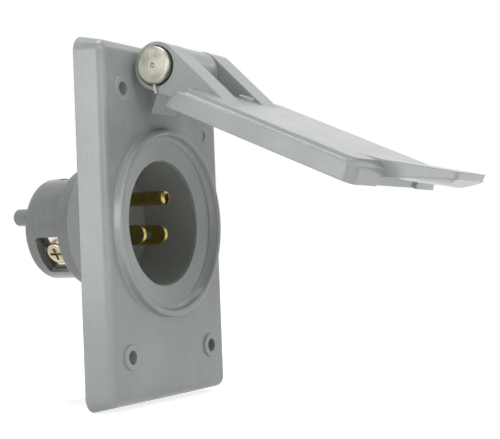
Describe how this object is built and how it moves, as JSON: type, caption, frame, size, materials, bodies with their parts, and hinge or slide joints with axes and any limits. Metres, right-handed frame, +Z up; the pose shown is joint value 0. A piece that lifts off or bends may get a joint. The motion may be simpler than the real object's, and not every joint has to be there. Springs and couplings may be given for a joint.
{
  "type": "appliance inlet",
  "caption": "Flanged power inlet: a cover plate with a raised collar round a recessed male contact cup, a hinged weather lid with finger tab, and a rear terminal housing.",
  "frame": {"origin": "centre of the four corner screw holes, on the wall plane at the back of the cover plate", "axes": "+Z up, -Y the front that a person faces, +X to the right seen from the front"},
  "size_m": [0.0714, 0.156, 0.116],
  "materials": {
    "grey_plastic": "moulded, fine satin",
    "cup_plastic": "moulded, satin",
    "dark_plastic": "moulded, smooth",
    "black_rubber": "moulded, matte",
    "contact_brass": "stamped, bright",
    "nickel_plate": "nickel plated",
    "terminal_screw": "nickel plated",
    "zinc_steel": "zinc plated",
    "spring_steel": "drawn wire",
    "pin_steel": "dull nickel"
  },
  "bodies": {
    "inlet": {"cover_plate": "grey_plastic", "plate_gasket": "black_rubber", "inlet_shell": "cup_plastic", "inlet_gasket": "black_rubber", "inlet_screws": "zinc_steel", "contact_carrier": "dark_plastic", "rear_body": "dark_plastic", "line_blade": "contact_brass", "neutral_blade": "contact_brass", "ground_pin": "contact_brass", "line_clamp": "nickel_plate", "neutral_clamp": "nickel_plate", "ground_clamp": "nickel_plate", "line_screw": "terminal_screw", "neutral_screw": "terminal_screw", "ground_screw": "terminal_screw", "assembly_screws": "zinc_steel", "hinge_spring": "spring_steel"},
    "lid": {"lid": "grey_plastic", "lid_gasket": "black_rubber", "hinge_pin": "pin_steel", "pin_retainer": "pin_steel", "split_pin": "pin_steel"}
  },
  "joints": [
    {"name": "lid_hinge", "type": "hinge", "parent": "inlet", "child": "lid", "pos_m": [0, -0.0187, 0.0483], "axis": [-1, 0, 0], "range_deg": [-65.5, 44.5], "deforming": ["hinge_spring"]}
  ]
}
